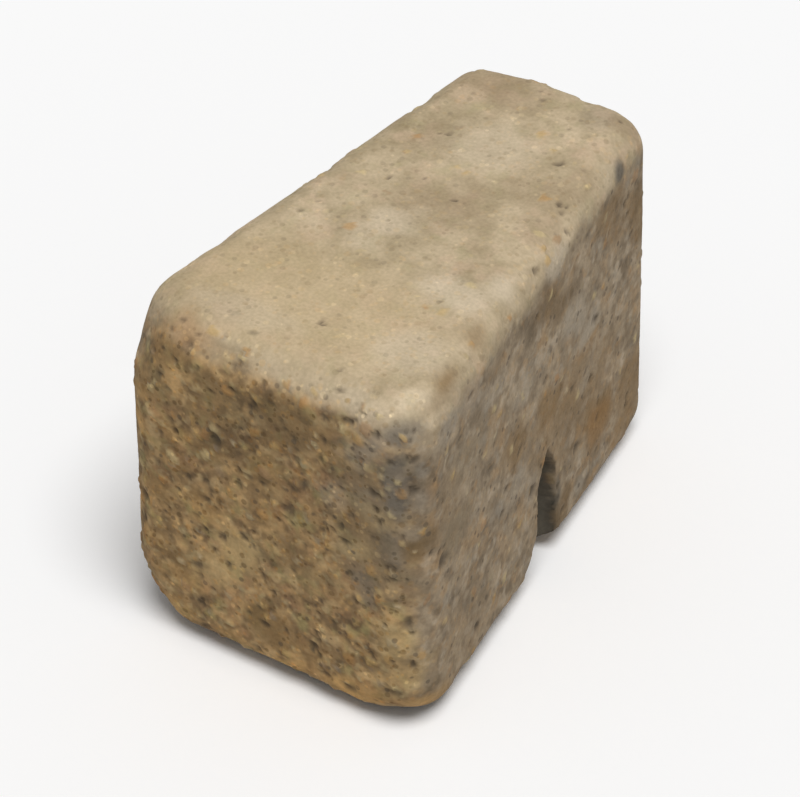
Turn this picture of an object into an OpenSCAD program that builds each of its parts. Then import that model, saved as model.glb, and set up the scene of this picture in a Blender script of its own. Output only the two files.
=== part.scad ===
// Tapered retaining wall block, tumbled after moulding.
// It stands on its bed. The rough front looks along -Y, the narrow tail along +Y,
// and the origin is the middle of the bed, under the middle of the block.

/* [Block] */
// Width across the rough front
front_w = 135; // [110:1:160]
// Width across the tail, which is narrower so that blocks can follow a curve
tail_w = 76; // [64:1:100]
// Depth from the front to the tail
depth = 200; // [170:1:240]
// Height of one course
height = 150; // [120:1:190]

/* [Side notches] */
// Distance from the front to the middle of the notch in each side
notch_from_front = 107.5; // [80:0.5:130]
// Height of the notch above the bed
notch_h = 57; // [44:1:70]
// Width of the notch at the bed
notch_foot_w = 17; // [13:0.5:20]
// Width of the notch where its sides turn in to the gable
notch_top_w = 15; // [8:0.5:17]
// Height of the gable that closes the notch
notch_gable_h = 12; // [4:1:16]
// How far the notch reaches into the block
notch_deep = 16; // [8:1:24]
// Lean of the notch's walls towards each other, in degrees, to let the mould go
notch_draft = 10; // [2:1:14]
// Broken off the right notch's front lip: length along the bed, height and depth
front_lip_break = [19, 24, 14]; // [4:1:27]
// Broken off the right notch's rear lip: length along the bed, height and depth
rear_lip_break = [60, 12, 16]; // [4:1:80]

/* [Worn corners: radius, then chipped across, along and up or down] */
// Front left corner at the top
front_left_top = [19, 10, 8, 18]; // [1:1:30]
// Front right corner at the top
front_right_top = [16, 3, 3, 4]; // [1:1:30]
// Front left corner at the bed
front_left_bed = [17, 10, 5, 14]; // [1:1:30]
// Front right corner at the bed
front_right_bed = [16, 11, 6, 5]; // [1:1:30]
// Tail left corner at the top
tail_left_top = [14, 18, 4, 6]; // [1:1:30]
// Tail right corner at the top
tail_right_top = [14, 3, 3, 1]; // [1:1:30]
// Tail left corner at the bed
tail_left_bed = [14, 5, 4, 8]; // [1:1:30]
// Tail right corner at the bed
tail_right_bed = [14, 1, 4, 1]; // [1:1:30]

/* [Hidden] */

LEFT = -1;
RIGHT = 1;
FRONT = 0;
TAIL = 1;
BED = 0;
TOP = 1;

// Angle by which each side leans in towards the tail
taper = atan((front_w - tail_w) / 2 / depth);
// Height at which the sides of a notch turn in to its gable
shoulder_h = notch_h - notch_gable_h;
// Sides of the balls that round the corners
ball_fn = 30;
// The worn shell stands this far outside the moulded faces, so the faces stay flat
shell_proud = 0.4;
// Cutting tools run this far past what they cut
overcut = 1;

// Distance from the middle of the block to a side, at depth y
function half_w(y) = front_w / 2 - y * tan(taper);

// Centre of a ball that touches the three faces that meet at a corner, then moved in by
// [across, along, up or down]. What moves along the block follows the lean of its side.
function ball_centre(side, end, level, radius, move) =
    let (inset = radius - shell_proud,
         rise = radius * cos(180 / ball_fn) - shell_proud,
         y = end == FRONT ? inset + move[1] : depth - inset - move[1])
    [side * (half_w(y) - inset / cos(taper) - move[0]),
     y,
     level == BED ? rise + move[2] : height - rise - move[2]];

// The block as it leaves the mould: upright faces, and a plan that tapers to the tail
module moulded_block() {
    linear_extrude(height)
        polygon([
            [-front_w / 2, 0],
            [front_w / 2, 0],
            [tail_w / 2, depth],
            [-tail_w / 2, depth],
        ]);
}

// A ball with one ring of its points on the equator and one point of that ring on the
// Y axis, so that balls of one size never put three points of a hull on one line
module ball(radius) {
    rotate([0, 0, 180 / ball_fn]) sphere(r = radius, $fn = ball_fn);
}

// One worn corner. Three balls touch the three faces, each moved in along one edge,
// so that their hull is a broken corner with rounded borders.
module worn_corner(side, end, level, wear) {
    for (edge = [0:2])
        translate(ball_centre(side, end, level, wear[0],
                              [for (i = [0:2]) i == edge ? wear[i + 1] : 0]))
            ball(wear[0]);
}

// What tumbling leaves: the hull of the eight worn corners
module worn_shell() {
    hull() {
        worn_corner(LEFT, FRONT, TOP, front_left_top);
        worn_corner(RIGHT, FRONT, TOP, front_right_top);
        worn_corner(LEFT, FRONT, BED, front_left_bed);
        worn_corner(RIGHT, FRONT, BED, front_right_bed);
        worn_corner(LEFT, TAIL, TOP, tail_left_top);
        worn_corner(RIGHT, TAIL, TOP, tail_right_top);
        worn_corner(LEFT, TAIL, BED, tail_left_bed);
        worn_corner(RIGHT, TAIL, BED, tail_right_bed);
    }
}

// Tool for one notch. Its middle line at the bed is the origin, X points out of the
// block, and it is the part that a gabled outline and a drafted plan have in common.
module notch_tool() {
    floor_w = notch_foot_w - 2 * notch_deep * tan(notch_draft);
    mouth_w = notch_foot_w + 2 * overcut * tan(notch_draft);
    intersection() {
        translate([-notch_deep, 0, 0])
            rotate([90, 0, 90])
                linear_extrude(notch_deep + overcut)
                    polygon([
                        [-notch_foot_w / 2, -overcut],
                        [notch_foot_w / 2, -overcut],
                        [notch_top_w / 2, shoulder_h],
                        [0, notch_h],
                        [-notch_top_w / 2, shoulder_h],
                    ]);
        translate([0, 0, -2 * overcut])
            linear_extrude(notch_h + 4 * overcut)
                polygon([
                    [overcut, -mouth_w / 2],
                    [overcut, mouth_w / 2],
                    [-notch_deep - overcut, floor_w / 2],
                    [-notch_deep - overcut, -floor_w / 2],
                ]);
    }
}

// Tool for the corner broken off the rear lip of a notch, in the notch's frame. Its
// slanting face runs through a point along the bed, one up the mouth of the notch and
// one inside it along its wall.
module lip_tool(lost) {
    mouth_lean = (notch_foot_w - notch_top_w) / 2 / shoulder_h;
    polyhedron(
        points = [
            [overcut, 0, -overcut],
            [0, notch_foot_w / 2 + lost[0], 0],
            [0, notch_foot_w / 2 - lost[1] * mouth_lean, lost[1]],
            [-lost[2], notch_foot_w / 2 - lost[2] * tan(notch_draft), 0],
        ],
        faces = [[2, 1, 0], [3, 2, 0], [1, 3, 0], [2, 3, 1]]
    );
}

// Moves a tool from its own frame to the right side, at the notch
module at_right_notch() {
    translate([half_w(notch_from_front), notch_from_front, 0])
        rotate([0, 0, taper])
            children();
}

module block() {
    color([0.62, 0.54, 0.42])
        difference() {
            intersection() {
                moulded_block();
                worn_shell();
            }
            at_right_notch() notch_tool();
            mirror([1, 0, 0]) at_right_notch() notch_tool();
            at_right_notch() lip_tool(rear_lip_break);
            at_right_notch() mirror([0, 1, 0]) lip_tool(front_lip_break);
        }
}

translate([0, -depth / 2, 0]) block();
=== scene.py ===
# %% [markdown]
# # A tumbled retaining wall block
#
# The real block is one lump of dry-cast concrete. It was pressed in a mould, so it has flat
# faces, a plan that tapers to the tail and a notch at the foot of each side. Then it was
# tumbled in a drum, which broke its corners, rounded its edges and opened its skin, so that
# the stones of the mix show. This lesson takes the exact shape from the CAD frame, turns it
# into a fine closed grid, and wears that grid down as the drum did.

# %% Load the frame
import math

import bpy
import numpy as np
from mathutils import Matrix, Vector


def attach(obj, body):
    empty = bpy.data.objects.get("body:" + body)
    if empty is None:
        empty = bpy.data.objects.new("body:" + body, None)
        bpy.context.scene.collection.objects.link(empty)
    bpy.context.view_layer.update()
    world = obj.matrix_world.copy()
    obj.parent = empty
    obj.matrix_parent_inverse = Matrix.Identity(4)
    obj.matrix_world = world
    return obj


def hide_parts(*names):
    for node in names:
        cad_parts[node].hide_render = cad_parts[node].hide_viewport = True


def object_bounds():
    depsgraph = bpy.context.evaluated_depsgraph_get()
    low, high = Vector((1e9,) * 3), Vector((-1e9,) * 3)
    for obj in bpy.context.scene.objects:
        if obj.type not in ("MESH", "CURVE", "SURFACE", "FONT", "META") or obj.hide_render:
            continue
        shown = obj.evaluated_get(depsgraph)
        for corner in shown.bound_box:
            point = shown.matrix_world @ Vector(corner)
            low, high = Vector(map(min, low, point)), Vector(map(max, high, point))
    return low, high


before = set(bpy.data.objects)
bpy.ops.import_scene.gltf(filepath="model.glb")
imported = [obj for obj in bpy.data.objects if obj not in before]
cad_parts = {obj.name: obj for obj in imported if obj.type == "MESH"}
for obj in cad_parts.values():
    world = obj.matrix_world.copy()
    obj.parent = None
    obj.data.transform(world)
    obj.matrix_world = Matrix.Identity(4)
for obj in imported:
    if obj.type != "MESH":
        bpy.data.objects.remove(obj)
cad_low, cad_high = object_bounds()
MM = 0.001
print("CAD box in mm:", [round((b - a) / MM, 1) for a, b in zip(cad_low, cad_high)])

# %% [markdown]
# ## The camera
#
# A long lens from well above the front shows the top, the rough front and the right side at
# once, with edges that stay nearly parallel. The camera is placed by two angles around the
# block and a distance, which is easier to read and to change than a position.

# %% Place the camera
AZIMUTH = math.radians(34.7)
ELEVATION = math.radians(39.9)
ROLL = math.radians(-1.1)
DISTANCE = 1.846
LENS_MM, SENSOR_MM = 225, 36
LOOK_LEFT, LOOK_UP = 7.4 * MM, 8.5 * MM


def camera_turn(azimuth, elevation, roll):
    """Rotation of a camera that looks at the block from azimuth, elevation and roll.

    The direction back to the camera is (sin a cos e, -cos a cos e, sin e), right is
    (cos a, sin a, 0), up is back x right, and the roll turns right and up about back.
    """
    back = Vector((math.sin(azimuth) * math.cos(elevation),
                   -math.cos(azimuth) * math.cos(elevation),
                   math.sin(elevation)))
    right = Vector((math.cos(azimuth), math.sin(azimuth), 0))
    up = back.cross(right)
    turned_right = right * math.cos(roll) + up * math.sin(roll)
    turned_up = up * math.cos(roll) - right * math.sin(roll)
    return Matrix((turned_right, turned_up, back)).transposed()


camera_data = bpy.data.cameras.new("camera")
camera_data.lens = LENS_MM
camera_data.sensor_width = SENSOR_MM
camera = bpy.data.objects.new("camera", camera_data)
bpy.context.scene.collection.objects.link(camera)
bpy.context.scene.camera = camera

turn = camera_turn(AZIMUTH, ELEVATION, ROLL)
middle = Vector((0, 0, (cad_low.z + cad_high.z) / 2))
look_at = middle - turn.col[0] * LOOK_LEFT - turn.col[1] * LOOK_UP
camera.matrix_world = Matrix.Translation(look_at + turn.col[2] * DISTANCE) @ turn.to_4x4()
print("camera at", [round(c, 3) for c in camera.matrix_world.translation])

# %% [markdown]
# ## Light and floor
#
# A soft sun stands high in front of the block and a weak even sky fills in from all around,
# so the top is bright, the upright faces are about half as bright, and the pits and the
# notches stay dark. Together they light a level face at a plain level, where a colour
# renders as it is written. The camera sees the sky and the floor as near white, but the
# light that they throw on the block is weaker, as from a grey yard.

# %% Light the block
SUN_LEVEL = 0.72
SKY_LEVEL = 0.28
SUN_WIDTH = math.radians(30)
SUN_AZIMUTH, SUN_ELEVATION = math.radians(55), math.radians(70)

scene = bpy.context.scene
scene.view_settings.view_transform = "Standard"

sun_data = bpy.data.lights.new("sun", "SUN")
sun_data.energy = SUN_LEVEL * math.pi
sun_data.angle = SUN_WIDTH
sun = bpy.data.objects.new("sun", sun_data)
sun.matrix_world = camera_turn(SUN_AZIMUTH, SUN_ELEVATION, 0).to_4x4()
scene.collection.objects.link(sun)
print("sun level", SUN_LEVEL, "at", round(math.degrees(SUN_ELEVATION)), "degrees")

# %% [markdown]
# ## A small language for materials
#
# Node trees are hard to read as lists of links. A wrapper around a socket lets the maths of
# a finish be written as plain Python, so `1 - mask * 0.5` adds its own Math nodes, and one
# method makes every other kind of node.


# %% Write shader maths as expressions
class Value:
    """A number that varies over a surface: a node's output socket that can be reckoned with."""

    def __init__(self, tree, socket):
        self.tree, self.socket = tree, socket

    def _math(self, operation, first, second, clamp=False):
        node = self.tree.nodes.new("ShaderNodeMath")
        node.operation, node.use_clamp = operation, clamp
        for slot, value in zip(node.inputs, (first, second)):
            if isinstance(value, Value):
                self.tree.links.new(value.socket, slot)
            else:
                slot.default_value = value
        return Value(self.tree, node.outputs[0])

    def __add__(self, other):
        return self._math("ADD", self, other)

    def __sub__(self, other):
        return self._math("SUBTRACT", self, other)

    def __rsub__(self, other):
        return self._math("SUBTRACT", other, self)

    def __mul__(self, other):
        return self._math("MULTIPLY", self, other)

    __radd__, __rmul__ = __add__, __mul__

    def clamped(self):
        """The same value, held between 0 and 1."""
        return self._math("ADD", self, 0.0, clamp=True)


# %% Make a finish and its nodes
class Finish:
    """A material and its node tree."""

    def __init__(self, name):
        self.material = bpy.data.materials.new(name)
        self.material.use_nodes = True
        self.tree = self.material.node_tree
        self.tree.nodes.clear()

    def node(self, kind, settings=None, output=0, **sockets):
        """Adds a node, gives it its settings, then values or links to its sockets.

        Socket names use _ for a space, and _2 picks the second socket of one name. The
        result is the output that is asked for, or a list of them.
        """
        node = self.tree.nodes.new("ShaderNode" + kind)
        for key, value in (settings or {}).items():
            if key == "stops":
                self._fill_ramp(node.color_ramp, value)
            else:
                setattr(node, key, value)
        for key, value in sockets.items():
            slot = self._slot(node, key)
            if isinstance(value, Value):
                self.tree.links.new(value.socket, slot)
            else:
                slot.default_value = value
        if isinstance(output, tuple):
            return [Value(self.tree, node.outputs[which]) for which in output]
        return Value(self.tree, node.outputs[output]) if node.outputs else None

    @staticmethod
    def _slot(node, key):
        name, second = (key[:-2], 1) if key.endswith("_2") else (key, 0)
        same = [s for s in node.inputs if s.enabled and s.name == name.replace("_", " ")]
        return same[second]

    @staticmethod
    def _fill_ramp(ramp, stops):
        for _ in stops[2:]:
            ramp.elements.new(0.5)
        for element, (position, colour) in zip(ramp.elements, stops):
            element.position = position
            element.color = (*colour, 1)

    def mix(self, amount, under, over, blend="MIX"):
        """Colour between under (amount 0) and over (amount 1)."""
        settings = {"data_type": "RGBA", "blend_type": blend}
        return self.node("Mix", settings, output=2, Factor=amount, A=under, B=over)

    def ramp(self, value, stops):
        """A colour picked by a value from (position, colour) stops."""
        return self.node("ValToRGB", {"stops": stops}, Fac=value)

    def read(self, name, output=2):
        """A number that the mesh stores at its points, or a colour with output 0."""
        return self.node("Attribute", {"attribute_name": name}, output=output)

    def step(self, value, low, high):
        """0 below low, 1 above high, and a smooth rise between them."""
        settings = {"interpolation_type": "SMOOTHSTEP"}
        return self.node("MapRange", settings, Value=value, From_Min=low, From_Max=high)


# %% [markdown]
# ## The sky and the floor
#
# Both have one brightness for the eye and another for the light they send out. A white room
# would light the block from all sides and wash out its pits. The Light Path node tells which
# kind of ray is asking, and the world's strength and the floor's colour follow it.

# %% Make the sky
def seen_directly(tree):
    """1 for rays from the camera, in a mirror or through glass, and 0 for all others."""
    rays = tree.nodes.new("ShaderNodeLightPath")
    seen = Value(tree, rays.outputs["Is Camera Ray"])
    for name in ("Is Glossy Ray", "Is Transmission Ray"):
        seen = seen + Value(tree, rays.outputs[name])
    return seen.clamped()


def sky(level):
    """A world that is white to look at and lights at this level."""
    world = bpy.data.worlds.new("sky")
    world.use_nodes = True
    tree = world.node_tree
    tree.nodes.clear()
    strength = seen_directly(tree) * (1 - level) + level
    background = tree.nodes.new("ShaderNodeBackground")
    background.inputs["Color"].default_value = (1, 1, 1, 1)
    tree.links.new(strength.socket, background.inputs["Strength"])
    output = tree.nodes.new("ShaderNodeOutputWorld")
    tree.links.new(background.outputs[0], output.inputs["Surface"])
    return world


scene.world = sky(SKY_LEVEL)
print("sky level", SKY_LEVEL)


# %% Lay the floor
def level_floor(half_side, height):
    """A square sheet at one height: x and y are the grid's two parameters."""
    across = np.array([-half_side, half_side])
    x, y = np.meshgrid(across, across, indexing="ij")
    points = np.column_stack([x.ravel(), y.ravel(), np.full(4, height)])
    mesh = bpy.data.meshes.new("floor")
    mesh.from_pydata(points.tolist(), [], [(0, 2, 3, 1)])
    return bpy.data.objects.new("floor", mesh)


floor = level_floor(half_side=6.0, height=cad_low.z)
scene.collection.objects.link(floor)

FLOOR_SEEN, FLOOR_THROWS = (0.99, 0.99, 0.99, 1), (0.55, 0.55, 0.55, 1)
FADES_FROM, FADES_TO = 0.3, 0.9
floor_finish = Finish("pale floor")
seen = seen_directly(floor_finish.tree)
floor_colour = floor_finish.mix(seen, FLOOR_THROWS, FLOOR_SEEN)
floor_shader = floor_finish.node("BsdfPrincipled", Base_Color=floor_colour, Roughness=1.0,
                                 Specular_IOR_Level=0.0)
white = floor_finish.node("Emission", Color=(1, 1, 1, 1))
floor_place = floor_finish.node("TexCoord", output=3)
away = floor_finish.node("VectorMath", {"operation": "LENGTH"}, output=1, Vector=floor_place)
faded = floor_finish.step(away, FADES_FROM, FADES_TO) * seen
floor_look = floor_finish.node("MixShader", Fac=faded, Shader=floor_shader, Shader_2=white)
floor_finish.node("OutputMaterial", Surface=floor_look)
floor.data.materials.append(floor_finish.material)
print("floor fades to white from", FADES_FROM, "to", FADES_TO, "m")

# %% [markdown]
# ## Reading the moulded shape from the CAD
#
# The block without its notches is convex, so it is fully described by the planes of its
# faces: a point is inside when it is behind all of them. We read those planes from the CAD
# mesh and keep only the ones with the whole block behind them, which drops the notches. The
# skin made from them follows the CAD exactly, also if someone changes a size there.

# %% Collect the planes of the convex block
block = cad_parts["block"]
NO_AREA = 1e-12


def supporting_planes(mesh, slack=0.02 * MM):
    """Unit normals and offsets of the faces that have the whole mesh behind them.

    A plane is all points p with normal . p = offset. It is kept when the largest
    normal . vertex over all vertices is no more than its offset, and doubles are merged.
    """
    corners = np.empty(len(mesh.vertices) * 3)
    mesh.vertices.foreach_get("co", corners)
    corners = corners.reshape(-1, 3)
    mesh.calc_loop_triangles()
    triangles = np.empty(len(mesh.loop_triangles) * 3, dtype=np.int32)
    mesh.loop_triangles.foreach_get("vertices", triangles)
    a, b, c = corners[triangles.reshape(-1, 3).T]
    normals = np.cross(b - a, c - a)
    area = np.linalg.norm(normals, axis=1)
    solid = area > NO_AREA
    normals = normals[solid] / area[solid, None]
    offsets = np.einsum("ij,ij->i", normals, a[solid])
    keep = (normals @ corners.T).max(axis=1) <= offsets + slack
    planes = np.column_stack([normals, offsets])[keep]
    first = np.unique(planes.round(5), axis=0, return_index=True)[1]
    return planes[first, :3], planes[first, 3]


plane_normals, plane_offsets = supporting_planes(block.data)
LOW, HIGH = np.array(cad_low), np.array(cad_high)
print(len(plane_offsets), "planes")


# %% Find the plane of the leaning side
UPRIGHT, SIDEWAYS, LEANING = 1e-4, 0.9, 0.01


def side_width(y):
    """Half the width of the moulded block at depth y, from the CAD's upright side plane."""
    upright = (np.abs(plane_normals[:, 2]) < UPRIGHT) & (plane_normals[:, 0] > SIDEWAYS)
    tapered = upright & (plane_normals[:, 1] > LEANING)
    best = np.flatnonzero(tapered)[np.argmin(plane_offsets[tapered])]
    normal, offset = plane_normals[best], plane_offsets[best]
    return (offset - normal[1] * y) / normal[0]


FRONT_W, TAIL_W = side_width(LOW[1]), side_width(HIGH[1])
TAPER = math.atan2(FRONT_W - TAIL_W, HIGH[1] - LOW[1])
print("half width at front and tail:", round(FRONT_W / MM, 2), round(TAIL_W / MM, 2),
      "taper in degrees:", round(math.degrees(TAPER), 2))

# %% [markdown]
# ## A closed grid around the block
#
# A displaced surface needs small faces of even size everywhere, and no seam that could
# open. The grid here is the skin of a box of little cells: six grids of two parameters that
# share the points on their common edges. The lines across the depth crowd together at the
# walls of the notches, because those steep walls need more of them.

# %% Work out the grid lines
CELL = 1.27 * MM
NOTCH_Y = 7.5 * MM
WALL_AWAY = 7.3 * MM
WALL_BAND = 3.0 * MM
WALL_CROWDING = 2.6
BAND_BORDER = 0.25
FINE_STEPS = 4001


def grid_lines(low, high, cell):
    """Positions of even grid lines from low to high, about one cell apart."""
    return np.linspace(low, high, int(round((high - low) / cell)) + 1)


def crowded_lines(low, high, cell, middle, away, band, crowding):
    """Grid lines that crowd together in two bands, at middle - away and middle + away.

    The density of lines is 1 + crowding in the bands and 1 elsewhere, and the lines are at
    equal steps of the running sum of that density.
    """
    fine = np.linspace(low, high, FINE_STEPS)
    from_band = np.abs(np.abs(fine - middle) - away)
    density = 1 + crowding / (1 + np.exp((from_band - band) / (BAND_BORDER * band)))
    running = np.concatenate([[0], np.cumsum(density[1:])]) * (fine[1] - fine[0]) / cell
    steps = np.linspace(0, running[-1], int(round(running[-1])) + 1)
    return np.interp(steps, running, fine)


lines_u = grid_lines(-1, 1, CELL / (0.5 * (FRONT_W + TAIL_W)))
lines_y = crowded_lines(LOW[1], HIGH[1], CELL, NOTCH_Y, WALL_AWAY, WALL_BAND, WALL_CROWDING)
lines_z = grid_lines(LOW[2], HIGH[2], CELL)
print("grid lines:", len(lines_u), len(lines_y), len(lines_z))


# %% Join six grids into one closed surface
def closed_box_grid(count):
    """Points and quads of the skin of a box of count[0] x count[1] x count[2] lines.

    Each point is known by its three line numbers. Each of the six sides is a grid in two of
    them with the third held at its first or last line, and points that two sides share are
    merged by their numbers. Quads run anticlockwise seen from outside.
    """
    last = np.array(count) - 1
    corners, key_base = [], np.array([count[1] * count[2], count[2], 1])
    for axis in range(3):
        first, second = (axis + 1) % 3, (axis + 2) % 3
        i, j = np.meshgrid(np.arange(last[first]), np.arange(last[second]), indexing="ij")
        ring = [(i, j), (i + 1, j), (i + 1, j + 1), (i, j + 1)]
        for level, order in ((last[axis], ring), (0, ring[::-1])):
            quad = np.empty((i.size, 4, 3), dtype=np.int64)
            for corner, (a, b) in enumerate(order):
                quad[:, corner, axis] = level
                quad[:, corner, first] = a.ravel()
                quad[:, corner, second] = b.ravel()
            corners.append(quad)
    corners = np.concatenate(corners)
    keys, quads = np.unique(corners @ key_base, return_inverse=True)
    numbers = np.column_stack([keys // key_base[0], keys // key_base[1] % count[1],
                               keys % count[2]])
    return numbers, quads.reshape(-1, 4)


numbers, quads = closed_box_grid((len(lines_u), len(lines_y), len(lines_z)))
print(len(numbers), "points,", 2 * len(quads), "triangles")

# %% [markdown]
# ## From box to block
#
# The box of lines is first given the block's taper. Then every point that stands outside the
# convex block is drawn back to it, towards a core: a smaller block inside. That keeps the
# spacing of the grid even around the worn edges. The CAD rounds its corners with flat
# facets, so the grid is then relaxed a little, which melts the facets into each other.

# %% Shrink the box onto the convex block
CORE_DEPTH = 25 * MM


def moulded_point(u, y, z):
    """Point of the tapered block from its three line positions, with u from -1 to 1."""
    return np.column_stack([u * side_width(y), y, z])


def core_point(points, depth):
    """Nearest point to each point in a block that lies this deep inside the moulded one."""
    y = np.clip(points[:, 1], LOW[1] + depth, HIGH[1] - depth)
    z = np.clip(points[:, 2], LOW[2] + depth, HIGH[2] - depth)
    reach = side_width(y) - depth
    return np.column_stack([np.clip(points[:, 0], -reach, reach), y, z])


def drawn_onto_planes(points, cores, normals, offsets, batch=8000):
    """Points moved towards their cores until they are behind every plane.

    A point goes to core + t (point - core), where t is the least value of
    (offset - normal . core) / (normal . (point - core)) over the planes, and at most 1.
    """
    moved = np.empty_like(points)
    for start in range(0, len(points), batch):
        part = slice(start, start + batch)
        ray = points[part] - cores[part]
        room = offsets - cores[part] @ normals.T
        speed = np.maximum(ray @ normals.T, 1e-9)
        t = np.minimum((room / speed).min(axis=1), 1)
        moved[part] = cores[part] + t[:, None] * ray
    return moved


mould = moulded_point(lines_u[numbers[:, 0]], lines_y[numbers[:, 1]], lines_z[numbers[:, 2]])
skin = drawn_onto_planes(mould, core_point(mould, CORE_DEPTH), plane_normals, plane_offsets)
print("largest draw-back, mm:", round(np.linalg.norm(skin - mould, axis=1).max() / MM, 1))


# %% Relax the grid
def grid_edges(quads):
    """Each edge of the quads once, as pairs of point numbers."""
    pairs = np.concatenate([quads[:, [a, (a + 1) % 4]] for a in range(4)])
    return np.unique(np.sort(pairs, axis=1), axis=0)


edges = grid_edges(quads)
edge_ends = np.concatenate([edges[:, 0], edges[:, 1]])
edge_others = np.concatenate([edges[:, 1], edges[:, 0]])
neighbour_count = np.bincount(edge_ends)


def neighbour_mean(values):
    """Mean of each point's grid neighbours, for one value or for several columns."""
    columns = values.reshape(len(values), -1)
    sums = [np.bincount(edge_ends, weights=column[edge_others]) for column in columns.T]
    return (np.column_stack(sums) / neighbour_count[:, None]).reshape(values.shape)


def relaxed(values, passes, pull=0.5):
    """Values moved this share of the way to their neighbours' mean, several times over."""
    for _ in range(passes):
        values = values + pull * (neighbour_mean(values) - values)
    return values


RELAX_PASSES = 7
faceted = skin
skin = relaxed(skin, RELAX_PASSES)
print("facets melted by up to", round(np.linalg.norm(skin - faceted, axis=1).max() / MM, 2), "mm")

# %% [markdown]
# ## Random patterns
#
# Concrete is random at every size: waves in the pressed skin, stones and pits of a few
# millimetres, and grains of sand. Two patterns give all of it. Smooth noise blends random
# slopes at the corners of a lattice. Stones come from a random point in each cell of a
# lattice, where the distance to the nearest one draws a round spot. Both are worked out from
# the position in the block, so the pattern runs round the edges without a seam, and from
# fixed seeds, so every run gives the same block.


# %% Make random numbers that belong to lattice cells
ALL_BITS = 0xFFFFFFFF
CELL_PRIMES, SEED_PRIME = np.array([73856093, 19349663, 83492791]), 374761393
FOLDS = ((0x7FEB352D, 15), (0x846CA68B, 16), (0x9E3779B1, 13))


def cell_random(cells, seed):
    """A number from 0 to 1 for each whole-numbered cell: its three numbers and the seed,
    mixed by multiplying and folding the bits over each other."""
    mixed = (cells @ CELL_PRIMES + seed * SEED_PRIME) & ALL_BITS
    for factor, shift in FOLDS:
        mixed = ((mixed ^ (mixed >> shift)) * factor) & ALL_BITS
    return (mixed ^ (mixed >> 16)) / ALL_BITS


NEAR_CELLS = np.array([(i, j, k) for i in (-1, 0, 1) for j in (-1, 0, 1) for k in (-1, 0, 1)])
CELL_CORNERS = np.array([(i, j, k) for i in (0, 1) for j in (0, 1) for k in (0, 1)])


# %% Make smooth noise
NOISE_GAIN = 1.9


def smooth_noise(points, size, seed):
    """Waves about this long, mostly between -1 and 1.

    Each lattice corner has a random slope. The slope's value at the point is blended over
    the cell's eight corners with weights 6t^5 - 15t^4 + 10t^3 along each direction.
    """
    scaled = points / size
    cells = np.floor(scaled).astype(np.int64)
    inside = scaled - cells
    fade = inside ** 3 * (inside * (inside * 6 - 15) + 10)
    total = np.zeros(len(points))
    for corner in CELL_CORNERS:
        slope = np.column_stack([cell_random(cells + corner, seed + k) for k in range(3)])
        weight = np.where(corner == 1, fade, 1 - fade).prod(axis=1)
        total += weight * ((2 * slope - 1) * (inside - corner)).sum(axis=1)
    return total * NOISE_GAIN


def layered_noise(points, size, seed, layers=3, fall=0.5):
    """Smooth noise with finer and weaker noise on top, each half as long as the last."""
    total, weight = np.zeros(len(points)), 1.0
    for layer in range(layers):
        total += weight * smooth_noise(points, size / 2 ** layer, seed + 10 * layer)
        weight *= fall
    return total


# %% Make round spots
def spots(points, size, seed):
    """Distance to the nearest random point, in sizes, and two random numbers of its cell."""
    scaled = points / size
    cells = np.floor(scaled).astype(np.int64)
    nearest = np.full(len(points), np.inf)
    home = cells.copy()
    for step in NEAR_CELLS:
        cell = cells + step
        place = cell + np.column_stack([cell_random(cell, seed + k) for k in range(3)])
        away = np.linalg.norm(scaled - place, axis=1)
        closer = away < nearest
        nearest = np.where(closer, away, nearest)
        home[closer] = cell[closer]
    return nearest, cell_random(home, seed + 7), cell_random(home, seed + 8)


def rise(value, low, high):
    """0 below low, 1 above high, and 3t^2 - 2t^3 between them."""
    t = np.clip((value - low) / (high - low), 0, 1)
    return t * t * (3 - 2 * t)


print("noise spread:", round(smooth_noise(skin, 10 * MM, 1).std(), 2),
      "nearest spot:", round(spots(skin, 5 * MM, 1)[0].mean(), 2))

# %% [markdown]
# ## The notches
#
# A gripping tool or a splitting wedge takes hold in a notch at the foot of each side. The
# notch runs up from the bed, leans in a little and ends in a gable, and its walls are drafted
# to leave the mould. On the right both its lips are broken off at the bed. Each side is a
# height field here: the notch gives every point of the side a depth below the moulded face,
# and a point that is not that deep yet is pushed in to it.

# %% Measure the notches in the side's own frame
NOTCH_FOOT = 8.5 * MM
NOTCH_SHOULDER = 7.5 * MM
SHOULDER_Z = 45 * MM
GABLE_Z = 57 * MM
NOTCH_DEPTH = 16 * MM
WALL_DRAFT = math.tan(math.radians(10))
FRONT_LIP_BREAK = (19 * MM, 24 * MM, 14 * MM)
REAR_LIP_BREAK = (60 * MM, 12 * MM, 16 * MM)


print("notches lie", round((NOTCH_Y - LOW[1]) / MM, 1), "mm behind the front")


def side_frame(points, side):
    """Distance along the side from the notch's middle, and depth below the moulded face."""
    across = side * points[:, 0] - side_width(NOTCH_Y)
    along = points[:, 1] - NOTCH_Y
    return (along * math.cos(TAPER) - across * math.sin(TAPER),
            -(across * math.cos(TAPER) + along * math.sin(TAPER)))


def gabled_inset(along, z):
    """How far a point of the side is inside the notch's outline, and below 0 outside it.

    The outline has two walls, |along| = foot - (foot - shoulder) z / shoulder height, and two
    roof lines from the shoulders to the ridge. The inset is the smaller of both distances.
    """
    lean = (NOTCH_FOOT - NOTCH_SHOULDER) / SHOULDER_Z
    to_wall = (NOTCH_FOOT - lean * z - np.abs(along)) / math.hypot(1, lean)
    pitch = (GABLE_Z - SHOULDER_Z) / NOTCH_SHOULDER
    to_roof = (GABLE_Z - pitch * np.abs(along) - z) / math.hypot(1, pitch)
    return np.minimum(to_wall, to_roof)


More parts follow.
